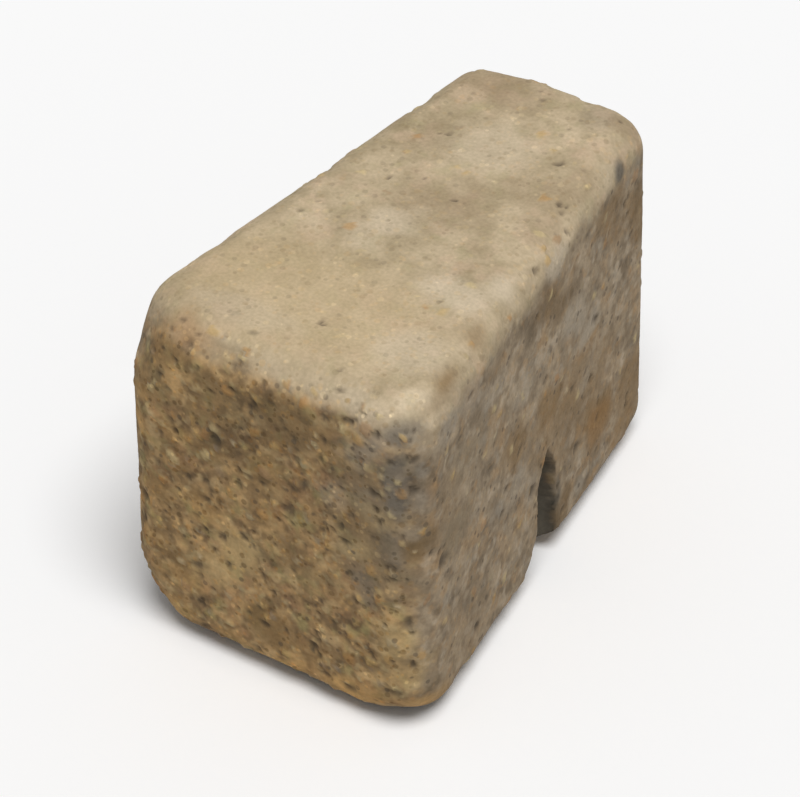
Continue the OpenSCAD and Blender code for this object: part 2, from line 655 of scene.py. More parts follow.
def lip_break_depth(along, z, lost):
    """Depth of the slanting plane where one lip of a notch is broken off.

    Along counts from the notch's middle towards that lip. The plane runs through a point
    this long past the lip at the bed, a point this high up the mouth, and a point this deep
    along the wall at the bed.
    """
    long, high, deep = lost
    inner = NOTCH_FOOT - deep * WALL_DRAFT
    outer = NOTCH_FOOT + long
    top = NOTCH_FOOT - high * (NOTCH_FOOT - NOTCH_SHOULDER) / SHOULDER_Z
    per_height = (1 - (top - inner) / (outer - inner)) / high
    depth = deep * (1 - (along - inner) / (outer - inner) - z * per_height)
    return np.where(along > inner, np.minimum(depth, deep), 0)


# %% Push the notches in
LIP_WEAR = 0.7 * MM
LIP_BAND = 1.8 * MM
MOUTH_WALL = 0.08
CRUMBLE = 0.6 * MM
BREAK_ROUGH = 1.2 * MM
INSIDE_FROM, INSIDE_TO = 0.1 * MM, 0.8 * MM
NOTCH_ROOM = 1.6 * NOTCH_DEPTH
SOFTNESS = 0.12


def pushed_notch(points, side, broken_lips):
    """Points of one side, pushed in to the depth of its notch, and how far they are inside it.

    The depth drops steeply inside the outline, then by the draft, down to the notch's full
    depth. Around the outline a rounded lip is worn off. A point at depth d goes to
    D + s log(1 + exp((d - D) / s)), a soft form of the larger of d and D, where s is the
    softness times D. Points deeper than the notch's room belong to other faces.
    """
    along, depth = side_frame(points, side)
    z = points[:, 2]
    inset = gabled_inset(along, z) + CRUMBLE * layered_noise(points, 6 * MM, 61, layers=2)
    drafted = (NOTCH_FOOT - np.abs(along)) / WALL_DRAFT
    target = np.clip(np.minimum(drafted, inset / MOUTH_WALL), 0, NOTCH_DEPTH)
    inside = rise(target, INSIDE_FROM, INSIDE_TO) * (depth < NOTCH_ROOM)
    if broken_lips:
        rough = BREAK_ROUGH * layered_noise(points, 6 * MM, 71)
        for way, lost in ((-1, FRONT_LIP_BREAK), (1, REAR_LIP_BREAK)):
            broken = lip_break_depth(way * along, z, lost)
            target = np.maximum(target, np.clip(broken + rough * (broken > 0), 0, NOTCH_DEPTH))
    worn = np.clip(1 + inset / LIP_BAND, 0, 1) ** 2 * LIP_WEAR
    target = np.maximum(target, worn)
    target = np.where(depth < NOTCH_ROOM, target, 0)
    soft = SOFTNESS * target + 1e-7
    pushed = target + soft * np.logaddexp(0, (depth - target) / soft)
    normal = np.array([side * math.cos(TAPER), math.sin(TAPER), 0])
    return points - (pushed - depth)[:, None] * normal, inside


on_right = skin[:, 0] > 0
right_push, inside_right = pushed_notch(skin, 1, broken_lips=True)
left_push, inside_left = pushed_notch(skin, -1, broken_lips=False)
skin = np.where(on_right[:, None], right_push, left_push)
hollow = relaxed(np.where(on_right, inside_right, inside_left), 1)
print("points inside the notches:", np.count_nonzero(hollow > 0.5))

# %% [markdown]
# ## What the drum did
#
# Tumbling knocks the blocks against each other. Edges and corners take most of it: they chip,
# and stones come free there and leave pits. The front was dressed rough, so it shows stones
# and pits all over, the sides fewer, and the top is nearly as smooth as the mould. All wear
# takes material away, so every term below is a depth, and the block stays inside its moulded
# size.


# %% Measure the skin
def point_normals(points, quads):
    """Unit normal of each point: the sum of the normals of the quads around it, where a
    quad's normal is the cross product of its diagonals."""
    corners = points[quads]
    across = np.cross(corners[:, 2] - corners[:, 0], corners[:, 3] - corners[:, 1])
    total = np.zeros_like(points)
    for axis in range(3):
        weights = np.repeat(across[:, axis], 4)
        total[:, axis] = np.bincount(quads.ravel(), weights=weights, minlength=len(points))
    return total / np.linalg.norm(total, axis=1)[:, None]


def moulded_depths(points):
    """Depth below each of the six moulded faces: right, left, front, tail, top, bed."""
    return np.column_stack([side_frame(points, 1)[1], side_frame(points, -1)[1],
                            points[:, 1] - LOW[1], HIGH[1] - points[:, 1],
                            HIGH[2] - points[:, 2], points[:, 2] - LOW[2]])


END_SKIN = 20 * MM
EDGE_FROM, EDGE_TO = 4 * MM, 15 * MM
FACING = (0.45, 0.85)
outward = point_normals(skin, quads)
depths = moulded_depths(skin)
edge = 1 - rise(np.sort(depths, axis=1)[:, 1], EDGE_FROM, EDGE_TO)
front = rise(-outward[:, 1], *FACING) * (1 - rise(depths[:, 2], END_SKIN, 2 * END_SKIN))
tail = rise(outward[:, 1], *FACING) * (1 - rise(depths[:, 3], END_SKIN, 2 * END_SKIN))
top = rise(outward[:, 2], *FACING)
bed = rise(-outward[:, 2], *FACING)
flank = np.clip(1 - front - tail - top - bed, 0, 1)
print("share of the skin that is edge:", round(edge.mean(), 2))


# %% Say how strong the wear is on each face
# Each is for the front, the tail, the top, the bed and the sides, with what edges add last.
# Waves and lumps are in mm, and the others are shares.
SLOW_WAVES = (0.5, 0.4, 0.25, 0.4, 0.2)
LUMPS = (0.55, 0.4, 0.14, 0.3, 0.24)
STONE_SHARE = (0.42, 0.25, 0.04, 0.12, 0.1, 0.1)
PIT_SHARE = (0.62, 0.35, 0.06, 0.2, 0.14, 0.08)
BIG_PIT_SHARE = (0.2, 0.14, 0.01, 0.06, 0.05, 0.04)
RUBBED_OFF = (1, 0.8, 0.1, 0.3, 0.2)


def by_face(on_front, on_tail, on_top, on_bed, on_flank, on_edge=0.0):
    """One number per point, from how strong something is on each face and along edges."""
    faces = (front * on_front + tail * on_tail + top * on_top + bed * on_bed
             + flank * on_flank)
    return faces + edge * on_edge


print("share of stones at the skin's points:", round(by_face(*STONE_SHARE).mean(), 2))


# %% Make waves, lumps and chips
SLOW_SIZE, LUMP_SIZE, CHIP_SIZE = 34 * MM, 11 * MM, 15 * MM
CHIP_DEEP = 0.8


def waves(points):
    """Slow waves of the skin, lumps, and broad chips along the edges."""
    slow = 0.5 + 0.5 * layered_noise(points, SLOW_SIZE, 11, layers=2)
    lumps = 0.5 + 0.5 * layered_noise(points, LUMP_SIZE, 21, layers=2)
    chips = rise(layered_noise(points, CHIP_SIZE, 31), 0.1, 0.8)
    return (by_face(*SLOW_WAVES) * slow + by_face(*LUMPS) * lumps
            + edge * CHIP_DEEP * chips) * MM


wavy = waves(skin)
print("waves, lumps and chips take", round(wavy.mean() / MM, 2), "mm on average")


# %% Make stones and pits
STONE_RADIUS, STONE_SPREAD = 0.2, 0.26
PIT_RADIUS, PIT_SPREAD = 0.18, 0.32


def bent(points, reach, size, seed):
    """Points moved this far by noise along each axis, so that round patterns turn uneven."""
    moves = [smooth_noise(points, size, seed + 20 * axis) for axis in range(3)]
    return points + reach * np.column_stack(moves)


def stones(points, size, seed, share):
    """Mask, height and random tint of the stones of one size that stand in the skin.

    A stone is a dome sqrt(1 - (distance / radius)^2) around a random point, kept where the
    point's random number is below the share of stones there. Its tint also sets its radius.
    """
    away, chance, tint = spots(points, size, seed)
    radius = STONE_RADIUS + STONE_SPREAD * (1.7 * tint % 1)
    mask = (1 - rise(away, radius - 0.05, radius + 0.07)) * (chance < share)
    dome = np.sqrt(np.clip(1 - (away / (radius + 0.07)) ** 2, 0, 1)) * (chance < share)
    return mask, dome * radius * size, tint


def pits(points, size, seed, share):
    """Mask and depth of the pits of one size: round bowls 1 - (distance / radius)^2.

    The width is squared, so that small pits are the most common.
    """
    away, chance, width = spots(points, size, seed)
    radius = PIT_RADIUS + PIT_SPREAD * width ** 2
    bowl = np.clip(1 - (away / radius) ** 2, 0, 1) * (chance < share)
    return bowl, bowl * radius * size


# %% Strew the stones and the pits
STONE_SIZE, STONE_STAND = 5.4 * MM, 0.4
PIT_SIZE, PIT_DEEP = 4.8 * MM, 0.6
BIG_PIT_SIZE, BIG_PIT_DEEP = 9 * MM, 0.35

uneven = bent(skin, reach=1.3 * MM, size=4 * MM, seed=401)
stone_mask, stone_height, stone_tint = stones(uneven, STONE_SIZE, 101, by_face(*STONE_SHARE))
pit_mask, pit_depth = pits(uneven, PIT_SIZE, 201, by_face(*PIT_SHARE))
big_mask, big_depth = pits(uneven, BIG_PIT_SIZE, 301, by_face(*BIG_PIT_SHARE))
stone_mask = stone_mask * (1 - pit_mask)
print("points on a stone:", np.count_nonzero(stone_mask > 0.5),
      "in a pit:", np.count_nonzero(np.maximum(pit_mask, big_mask) > 0.5))

# %% Wear the skin
GRAIN, GRAIN_SIZE = 0.05 * MM, 3.2 * MM
SKIN_LOST = 0.2 * MM
SPARED_IN_NOTCH = 0.7

wear = wavy + pit_depth * PIT_DEEP + big_depth * BIG_PIT_DEEP
wear += GRAIN * (1 + smooth_noise(skin, GRAIN_SIZE, 41))
wear += SKIN_LOST * by_face(*RUBBED_OFF)
wear -= stone_height * STONE_STAND * (1 - pit_mask)
wear = np.maximum(wear, 0)
wear *= 1 - SPARED_IN_NOTCH * hollow
worn = skin - wear[:, None] * outward
worn[:, 2] = np.maximum(worn[:, 2], LOW[2])
print("mean and deepest wear, mm:", round(wear.mean() / MM, 2), round(wear.max() / MM, 2))


# %% Put the grid into a mesh
def grid_mesh(name, points, quads):
    """A smooth-shaded mesh of quads."""
    mesh = bpy.data.meshes.new(name)
    mesh.vertices.add(len(points))
    mesh.vertices.foreach_set("co", points.astype(np.float32).ravel())
    mesh.loops.add(quads.size)
    mesh.loops.foreach_set("vertex_index", quads.astype(np.int32).ravel())
    mesh.polygons.add(len(quads))
    mesh.polygons.foreach_set("loop_start", np.arange(0, quads.size, 4, dtype=np.int32))
    mesh.polygons.foreach_set("use_smooth", np.ones(len(quads), dtype=bool))
    mesh.update(calc_edges=True)
    mesh.validate()
    return mesh


def store(mesh, **values):
    """Keeps numbers or colours at the mesh's points, for the material to read."""
    for name, kept in values.items():
        kind, field = ("FLOAT", "value") if kept.ndim == 1 else ("FLOAT_VECTOR", "vector")
        layer = mesh.attributes.new(name, kind, "POINT")
        layer.data.foreach_set(field, kept.astype(np.float32).ravel())


worn_mesh = grid_mesh("wall_block", worn, quads)
store(worn_mesh, stone=stone_mask, tint=stone_tint, pit=np.maximum(pit_mask, big_mask))
wall_block = bpy.data.objects.new("wall_block", worn_mesh)
scene.collection.objects.link(wall_block)
print("wall block:", len(worn_mesh.vertices), "points,", 2 * len(worn_mesh.polygons), "triangles")

# %% [markdown]
# ## Where the skin is torn, bleached or rubbed
#
# Three skins meet on the real block. The front was torn open, which shows the brown of the
# fresh paste, the top is bleached by the weather, and the rim between them is rubbed pale.
# A face of the mesh can't say where one skin ends, because the borders are ragged, so each
# skin is a number from 0 to 1 at every point, and the material blends by it.


# %% Say where each skin is
def torn_front(points):
    """1 where the front's paste was torn open, and 0 behind a ragged border.

    The border lies 5 mm behind the front's face, and 9 mm on its left, plus noise.
    """
    to_left = rise(-outward[:, 0], 0.1, 0.6)
    reach = (5 + 4 * to_left + 3 * layered_noise(points, 14 * MM, 81)) * MM
    blend = (3 + 4 * to_left) * MM
    return 1 - rise(depths[:, 2], reach - blend, reach + blend)


def bleached_top(points):
    """1 on the top and 0 on the upright faces, with a ragged border.

    Over the front and the tail it depends on how much the skin faces up, and over the sides
    on the depth below the top.
    """
    level_part = np.maximum(np.hypot(outward[:, 0], outward[:, 1]), 1e-6)
    sideways = rise(np.abs(outward[:, 0]) / level_part, 0.4, 0.9)
    patchy = layered_noise(points, 9 * MM, 91)
    over_ends = rise(outward[:, 2] + 0.15 * patchy, 0.4, 0.9)
    over_sides = 1 - rise(depths[:, 4] + 4 * MM * patchy, 3 * MM, 19 * MM)
    return over_ends + (over_sides - over_ends) * sideways


def rubbed_rim(points):
    """1 where the top's edge is rubbed pale: most over the front, and not at its left end."""
    rim = edge * rise(outward[:, 2], 0.2, 0.5) * (1 - rise(outward[:, 2], 0.93, 0.99))
    rim *= 0.35 + 0.65 * rise(-outward[:, 1], 0.1, 0.4)
    return rim * (1 - rise(-points[:, 0], 20 * MM, 50 * MM))


def lighter_notch_shade(points):
    """1 where the shade painted into a notch is lighter: deeper than 6 mm, and under its ridge.
    """
    return np.maximum(rise(depths[:, :2].min(axis=1), 1 * MM, 6 * MM),
                      rise(points[:, 2], 42 * MM, 52 * MM))


torn = torn_front(skin)
bleached = bleached_top(skin)
# The last one says where the shade painted into the notches is lighter.
store(worn_mesh, torn=torn, bleached=bleached, rim=rubbed_rim(skin), hollow=hollow,
      thin_dirt=lighter_notch_shade(skin))
print("torn:", round(torn.mean(), 2), "bleached:", round(bleached.mean(), 2), "of the points")

# %% [markdown]
# ## The look of the concrete
#
# The mix is a warm grey-brown paste with cream, yellow and rust coloured stones. The top is
# bleached and smooth, the front is a richer brown where the paste was torn, and the sides
# are greyer. Each face's paste is clouded by noise of several sizes, because one noise alone
# looks like smoke. Grains too small for the mesh are lighter and darker spots of colour, and
# the sand between them is a bump.

# %% Start the finish
concrete = Finish("tumbled concrete")
place = concrete.node("TexCoord", output=3)


def cloudy(size, seed, low=0.36, high=0.64, detail=2.0):
    """Soft clouds of about this size: 0 where the noise is below low, 1 above high."""
    noise = concrete.node("TexNoise", {"noise_dimensions": "4D"}, Vector=place, W=seed,
                          Scale=1 / size, Detail=detail, Roughness=0.6)
    return concrete.step(noise, low, high)


CUT_OFF = 0.02


def grains(size, seed, share, outer=0.52, inner=0.36):
    """Grains of about this size: where they are, and a random number for each of them.

    A grain is what lies within a radius of a random point, with a border from outer to
    inner. The points are scattered in four dimensions, so that they are cut at different
    widths. Only a share of them is kept: those whose own number is below it.
    """
    away, random = concrete.node("TexVoronoi", {"voronoi_dimensions": "4D"}, output=(0, 1),
                                 Vector=place, W=seed, Scale=1 / size)
    chance, number = concrete.node("SeparateColor", output=(0, 1), Color=random)
    kept = concrete.step(chance, share, share - CUT_OFF)
    return concrete.step(away, outer, inner) * kept, number


# %% Spread the clouds
broad, blotches, flecks = cloudy(50 * MM, 1), cloudy(18 * MM, 2), cloudy(8 * MM, 3)
clouds = cloudy(26 * MM, 8)
rusty, mossy = cloudy(12 * MM, 4, 0.5, 0.7), cloudy(10 * MM, 5, 0.5, 0.7)
dark_mottle, pale_mottle = cloudy(4.5 * MM, 6, 0.52, 0.68, 1), cloudy(4 * MM, 7, 0.56, 0.7, 1)
soily, cleaned = cloudy(7 * MM, 9, 0.54, 0.68, 1), cloudy(7 * MM, 10, 0.54, 0.68, 1)
print("nodes of the clouds:", len(concrete.tree.nodes))


# %% Mix the paste of the sides, the front and the top
def clouded(paste, layers):
    """A paste with more colours mixed over it, each where its clouds are, by its share."""
    for where, share, colour in layers:
        paste = concrete.mix(where * share, paste, colour)
    return paste


SIDE_PASTE, SIDE_DARK = (0.52, 0.405, 0.275, 1), (0.20, 0.15, 0.095, 1)
SIDE_RUST, SIDE_GREY = (0.48, 0.30, 0.145, 1), (0.37, 0.33, 0.27, 1)
SIDE_PALE = (0.60, 0.49, 0.36, 1)
FRONT_PASTE, FRONT_DARK = (0.72, 0.46, 0.205, 1), (0.11, 0.075, 0.045, 1)
FRONT_RUST, FRONT_OLIVE = (0.46, 0.265, 0.13, 1), (0.42, 0.35, 0.15, 1)
FRONT_PALE = (0.70, 0.49, 0.25, 1)
TOP_PASTE, TOP_PALE = (0.355, 0.278, 0.165, 1), (0.635, 0.507, 0.34, 1)
TOP_PINK, TOP_OLIVE = (0.60, 0.44, 0.30, 1), (0.42, 0.36, 0.20, 1)
RIM_PALE = (0.60, 0.485, 0.33, 1)
MOTTLE_DARK, MOTTLE_PALE = (0.10, 0.07, 0.04, 1), (0.68, 0.55, 0.30, 1)

sides = concrete.mix(clouds * 0.35 + blotches * 0.35 + flecks * 0.3, SIDE_PASTE, SIDE_DARK)
sides = clouded(sides, [(rusty, 0.5, SIDE_RUST), (mossy, 0.45, SIDE_GREY),
                        (soily, 0.45, SIDE_DARK), (cleaned, 0.45, SIDE_PALE),
                        (dark_mottle, 0.3, MOTTLE_DARK), (pale_mottle, 0.35, SIDE_RUST)])
fronts = concrete.mix(broad * 0.2 + blotches * 0.35 + flecks * 0.45, FRONT_PASTE, FRONT_DARK)
fronts = clouded(fronts, [(rusty, 0.6, FRONT_RUST), (mossy, 0.6, FRONT_OLIVE),
                          (soily, 0.5, MOTTLE_DARK), (cleaned, 0.5, FRONT_PALE),
                          (dark_mottle, 0.3, MOTTLE_DARK), (pale_mottle, 0.25, MOTTLE_PALE)])
tops = concrete.mix(broad * 0.3 + blotches * 0.4 + flecks * 0.3, TOP_PASTE, TOP_PALE)
tops = clouded(tops, [(rusty, 0.5, TOP_PINK), (mossy, 0.4, TOP_OLIVE)])
paste = concrete.mix(concrete.read("torn"), sides, fronts)
paste = concrete.mix(concrete.read("bleached"), paste, tops)
paste = clouded(paste, [(concrete.read("rim"), 0.55, RIM_PALE)])
print("nodes with the pastes:", len(concrete.tree.nodes))

# %% [markdown]
# ## Stains, and painted light and shade
#
# A block that has lain outdoors isn't one colour. It is darker under the rim, soil sticks above
# the notch, iron in the stones bleeds rust, and a knock bares clean paste. Some spots are painted
# light and shade: painted shade in the mouths of the notches, and painted light along the foot
# of the front and on a notch's front lip. Noise can't put such marks where they belong, and a
# painted texture would have seams, so each stain is a soft spot in space: its middle, how far it
# reaches along each axis, its colour and its strength. The block's points are bent by noise
# before they are looked up, which makes the borders uneven, and the result is kept on the mesh,
# where it costs the renderer nothing.

# %% Name the colours of the stains
# The first colour is painted shade, laid in the mouths of the notches.
PAINTED_NOTCH_SHADE, SOOT, SMEAR = (0.06, 0.054, 0.042), (0.13, 0.12, 0.10), (0.195, 0.168, 0.133)
SLATE, UMBER = (0.275, 0.21, 0.13), (0.25, 0.155, 0.065)
DARK_EARTH, EARTH = (0.19, 0.125, 0.06), (0.28, 0.20, 0.115)
# Amber is also painted light, along the foot of the front.
AMBER_AND_PAINTED_LIGHT, RUST, HONEY = (0.76, 0.46, 0.175), (0.38, 0.20, 0.075), (0.64, 0.46, 0.22)
# Grey paste is also painted light, on the front lip of the right notch.
GREY_PASTE_AND_PAINTED_LIGHT, CREAM = (0.46, 0.385, 0.29), (0.68, 0.565, 0.41)
WARM, CHALK = (0.56, 0.425, 0.245), (0.80, 0.67, 0.48)

# %% Say where the stains are
STAINS = [
    # where its middle is and how far it reaches (mm), its colour, its strength
    # darker under the rim of the front
    ((-48, -100, 119), (15, 16, 15), DARK_EARTH, 0.65),
    ((-22, -100, 112), (20, 16, 17), DARK_EARTH, 0.5),
    ((-19, -100, 128), (16, 14, 9), DARK_EARTH, 0.6),
    ((1, -100, 132), (16, 14, 10), DARK_EARTH, 0.6),
    ((-11, -100, 120), (9, 14, 8), HONEY, 0.25),
    ((8, -100, 122), (16, 14, 10), DARK_EARTH, 0.55),
    ((11, -100, 134), (14, 14, 8), DARK_EARTH, 0.45),
    ((20, -100, 126), (16, 14, 12), DARK_EARTH, 0.6),
    ((28, -100, 135), (11, 12, 7), DARK_EARTH, 0.4),
    ((6, -100, 115), (10, 12, 7), UMBER, 0.4),
    ((-60, -98, 92), (12, 16, 50), UMBER, 0.2),
    ((-43, -100, 136), (18, 12, 10), UMBER, 0.65),
    ((-18, -100, 143), (16, 12, 7), UMBER, 0.4),
    ((-37, -97, 149), (24, 12, 9), RUST, 0.6),
    # the grey smear that turns the corner to the right side
    ((48, -100, 92), (26, 18, 46), SLATE, 0.65),
    ((50, -100, 134), (16, 14, 10), SMEAR, 0.2),
    ((57, -100, 122), (9, 14, 18), SMEAR, 0.85),
    ((47, -100, 107), (10, 14, 12), SMEAR, 0.35),
    ((56, -100, 109), (8, 12, 10), SMEAR, 0.8),
    ((55, -100, 88), (10, 14, 14), SMEAR, 0.6),
    ((63, -94, 110), (9, 10, 8), SMEAR, 0.45),
    ((48, -100, 88), (9, 12, 7), DARK_EARTH, 0.3),
    ((49, -100, 77), (10, 14, 9), DARK_EARTH, 0.35),
    ((42, -100, 64), (9, 14, 12), SMEAR, 0.55),
    ((66, -95, 93), (12, 13, 13), DARK_EARTH, 0.8),
    ((67, -98, 88), (12, 14, 12), DARK_EARTH, 0.72),
    ((49, -100, 100), (10, 12, 10), HONEY, 0.25),
    ((61, -95, 98), (7, 8, 6), GREY_PASTE_AND_PAINTED_LIGHT, 0.4),
    # clean corners at the top, amber, honey and umber patches down the front, and painted light
    # at its foot
    ((36, -98, 146), (16, 14, 7), CREAM, 0.3),
    ((48, -99, 138), (12, 12, 7), GREY_PASTE_AND_PAINTED_LIGHT, 0.5),
    ((59, -98, 140), (11, 12, 8), SMEAR, 0.85),
    ((58, -87, 149), (9, 9, 7), CHALK, 0.4),
    ((41, -100, 127), (12, 14, 9), GREY_PASTE_AND_PAINTED_LIGHT, 0.35),
    ((46, -100, 131), (8, 12, 6), GREY_PASTE_AND_PAINTED_LIGHT, 0.35),
    ((33, -100, 120), (9, 12, 7), HONEY, 0.2),
    ((-40, -100, 101), (10, 14, 9), AMBER_AND_PAINTED_LIGHT, 0.35),
    ((-54, -100, 112), (9, 12, 8), AMBER_AND_PAINTED_LIGHT, 0.3),
    ((-60, -103, 98), (14, 10, 16), AMBER_AND_PAINTED_LIGHT, 0.8),
    ((-48, -100, 69), (11, 14, 12), UMBER, 0.6),
    ((-40, -100, 88), (12, 14, 9), UMBER, 0.4),
    ((-22, -100, 98), (12, 14, 9), UMBER, 0.55),
    ((-6, -100, 96), (9, 12, 7), UMBER, 0.35),
    ((-29, -100, 70), (12, 14, 9), AMBER_AND_PAINTED_LIGHT, 0.35),
    ((6, -100, 93), (13, 14, 10), DARK_EARTH, 0.45),
    ((-13, -100, 75), (12, 14, 8), DARK_EARTH, 0.2),
    ((-12, -100, 57), (16, 16, 12), HONEY, 0.6),
    ((-25, -100, 42), (17, 16, 12), HONEY, 0.4),
    ((-52, -98, 45), (11, 14, 8), AMBER_AND_PAINTED_LIGHT, 0.2),
    ((-37, -98, 30), (12, 14, 8), AMBER_AND_PAINTED_LIGHT, 0.35),
    ((-41, -100, 40), (12, 14, 8), UMBER, 0.75),
    ((-50, -100, 28), (11, 14, 7), UMBER, 0.4),
    # painted light: lighter along the foot of the front, where its edge rounds down into shade
    ((-45, -98, 13), (18, 14, 10), AMBER_AND_PAINTED_LIGHT, 0.35),
    ((-20, -98, 11), (10, 12, 6), AMBER_AND_PAINTED_LIGHT, 0.3),
    ((20, -98, 11), (8, 12, 6), RUST, 0.35),
    ((55, -99, 45), (13, 14, 13), HONEY, 0.5),
    ((56, -98, 26), (16, 16, 14), HONEY, 0.3),
    ((68, -97, 34), (12, 14, 12), HONEY, 0.45),
    ((67, -98, 55), (12, 12, 9), EARTH, 0.3),
    ((40, -100, 82), (11, 12, 9), HONEY, 0.35),
    ((39, -100, 97), (11, 14, 8), UMBER, 0.35),
    ((36, -100, 90), (8, 12, 6), UMBER, 0.3),
    ((28, -100, 104), (11, 12, 8), GREY_PASTE_AND_PAINTED_LIGHT, 0.3),
    ((17, -100, 21), (14, 14, 10), UMBER, 0.6),
    ((-1, -100, 27), (14, 14, 12), UMBER, 0.75),
    # more painted light along the foot of the front
    ((36, -98, 12), (18, 14, 8), AMBER_AND_PAINTED_LIGHT, 0.6),
    ((46, -100, 14), (10, 12, 7), RUST, 0.4),
    ((33, -98, 9), (8, 12, 6), AMBER_AND_PAINTED_LIGHT, 0.5),
    ((10, -98, 9), (11, 12, 8), AMBER_AND_PAINTED_LIGHT, 0.65),
    ((62, -92, 10), (14, 14, 10), AMBER_AND_PAINTED_LIGHT, 0.5),
    ((64, -83, 10), (12, 16, 12), AMBER_AND_PAINTED_LIGHT, 0.4),
    ((10, -100, 67), (14, 14, 12), DARK_EARTH, 0.6),
    ((-1, -100, 80), (13, 14, 9), DARK_EARTH, 0.35),
    ((26, -100, 60), (13, 14, 10), DARK_EARTH, 0.4),
    ((21, -100, 62), (7, 12, 6), HONEY, 0.3),
    ((-4, -100, 21), (9, 12, 7), UMBER, 0.3),
    ((1, -100, 103), (15, 14, 10), UMBER, 0.5),
    # the right side: darker under the rim, umber above the notch and at the foot of the tail,
    # painted shade in the notch's mouth, and bare grey paste between them
    ((64, -66, 30), (14, 36, 34), EARTH, 0.35),
    ((64, -76, 98), (14, 13, 26), EARTH, 0.55),
    ((64, -71, 81), (14, 18, 13), SLATE, 0.7),
    ((62, -58, 74), (14, 12, 8), EARTH, 0.4),
    ((62, -65, 65), (10, 12, 8), EARTH, 0.35),
    ((64, -80, 88), (10, 11, 8), SLATE, 0.35),
    ((56, -23, 37), (12, 13, 9), EARTH, 0.35),
    ((67, -96, 70), (12, 14, 12), EARTH, 0.4),
    ((63, -67, 108), (14, 14, 11), SLATE, 0.4),
    ((63, -74, 132), (14, 13, 8), GREY_PASTE_AND_PAINTED_LIGHT, 0.5),
    ((61, -57, 131), (12, 12, 9), GREY_PASTE_AND_PAINTED_LIGHT, 0.45),
    ((60, -47, 106), (14, 28, 12), SLATE, 0.25),
    ((62, -74, 145), (9, 26, 8), EARTH, 0.55),
    ((61, -64, 150), (13, 15, 10), UMBER, 0.85),
    ((60, -62, 148), (9, 11, 8), UMBER, 0.4),
    ((57, -46, 146), (8, 14, 7), UMBER, 0.5),
    ((59, -36, 131), (10, 14, 7), DARK_EARTH, 0.35),
    ((51, 8, 125), (12, 20, 13), DARK_EARTH, 0.65),
    ((50, 17, 138), (11, 13, 7), GREY_PASTE_AND_PAINTED_LIGHT, 0.6),
    ((50, 19, 138), (9, 11, 7), CREAM, 0.35),
    ((43, 65, 146), (9, 9, 7), CREAM, 0.35),
    ((50, 20, 116), (14, 14, 9), DARK_EARTH, 0.65),
    ((51, 10, 112), (9, 10, 7), EARTH, 0.35),
    ((56, -20, 61), (14, 16, 11), GREY_PASTE_AND_PAINTED_LIGHT, 0.55),
    ((57, -40, 122), (14, 16, 9), GREY_PASTE_AND_PAINTED_LIGHT, 0.4),
    ((55, -15, 102), (14, 14, 9), GREY_PASTE_AND_PAINTED_LIGHT, 0.5),
    ((48, 32, 101), (14, 17, 11), GREY_PASTE_AND_PAINTED_LIGHT, 0.7),
    ((48, 30, 62), (16, 66, 34), UMBER, 0.4),
    ((56, -21, 81), (14, 18, 13), UMBER, 0.7),
    ((52, 8, 79), (14, 18, 13), UMBER, 0.7),
    ((47, 43, 88), (14, 15, 10), GREY_PASTE_AND_PAINTED_LIGHT, 0.8),
    # painted light on the notch's front lip, where its mouth is in shade
    ((53, -5, 52), (12, 7, 12), GREY_PASTE_AND_PAINTED_LIGHT, 0.5),
    ((54, -6, 28), (9, 9, 12), EARTH, 0.35),
    # painted shade in the mouth of the notch
    ((52, 15, 30), (9, 5, 10), PAINTED_NOTCH_SHADE, 0.75),
    ((52, 15.5, 16), (9, 5, 13), PAINTED_NOTCH_SHADE, 0.65),
    ((50, 20, 16), (14, 10, 16), DARK_EARTH, 0.7),
    ((48, 33, 64), (14, 30, 17), EARTH, 0.4),
    ((45, 52, 40), (14, 20, 16), UMBER, 0.7),
    ((45, 53, 34), (14, 16, 12), RUST, 0.5),
    ((44, 55, 31), (12, 18, 14), UMBER, 0.5),
    ((40, 86, 43), (12, 12, 11), UMBER, 0.4),
    ((43, 68, 16), (12, 14, 9), UMBER, 0.35),
    ((49, 28, 67), (10, 13, 9), UMBER, 0.3),
    ((46, 42, 68), (14, 12, 8), GREY_PASTE_AND_PAINTED_LIGHT, 0.35),
    ((41, 82, 26), (14, 20, 26), UMBER, 0.55),
    ((40, 89, 108), (12, 14, 18), UMBER, 0.5),
    ((44, 61, 130), (14, 22, 10), UMBER, 0.55),
    ((42, 76, 118), (14, 24, 13), DARK_EARTH, 0.5),
    ((42, 71, 141), (6, 6, 6), SOOT, 0.85),
    ((43, 77, 148), (4, 4, 4), HONEY, 0.8),
    # the top: warm towards the front, with bleached patches, and earthy at the tail
    ((-10, -62, 150), (80, 46, 14), WARM, 0.5),
    ((-33, -80, 150), (20, 14, 10), EARTH, 0.25),
    ((0, 48, 150), (24, 23, 12), CREAM, 0.4),
    ((43, -65, 150), (18, 17, 12), CREAM, 0.45),
    ((37, -31, 150), (20, 14, 12), CREAM, 0.6),
    ((53, -17, 149), (12, 14, 10), CREAM, 0.8),
    ((54, -42, 149), (12, 12, 9), EARTH, 0.3),
    ((43, 19, 150), (13, 14, 10), EARTH, 0.4),
    ((-8, -20, 150), (13, 10, 12), CREAM, 0.3),
    ((-22, -78, 150), (30, 10, 12), CREAM, 0.3),
    ((32, 34, 150), (20, 15, 10), EARTH, 0.4),
    ((39, 49, 150), (12, 13, 10), EARTH, 0.35),
    ((5, 11, 150), (26, 19, 12), EARTH, 0.5),
    ((-21, 40, 150), (14, 16, 12), EARTH, 0.3),
    ((-5, -6, 150), (13, 12, 12), CREAM, 0.5),
    ((-26, 84, 148), (20, 16, 12), EARTH, 0.5),
    ((-8, 81, 150), (18, 16, 12), EARTH, 0.4),
    ((25, 84, 150), (12, 12, 12), SMEAR, 0.25),
    ((36, 88, 148), (12, 13, 10), EARTH, 0.5),
    # the left side and the tail
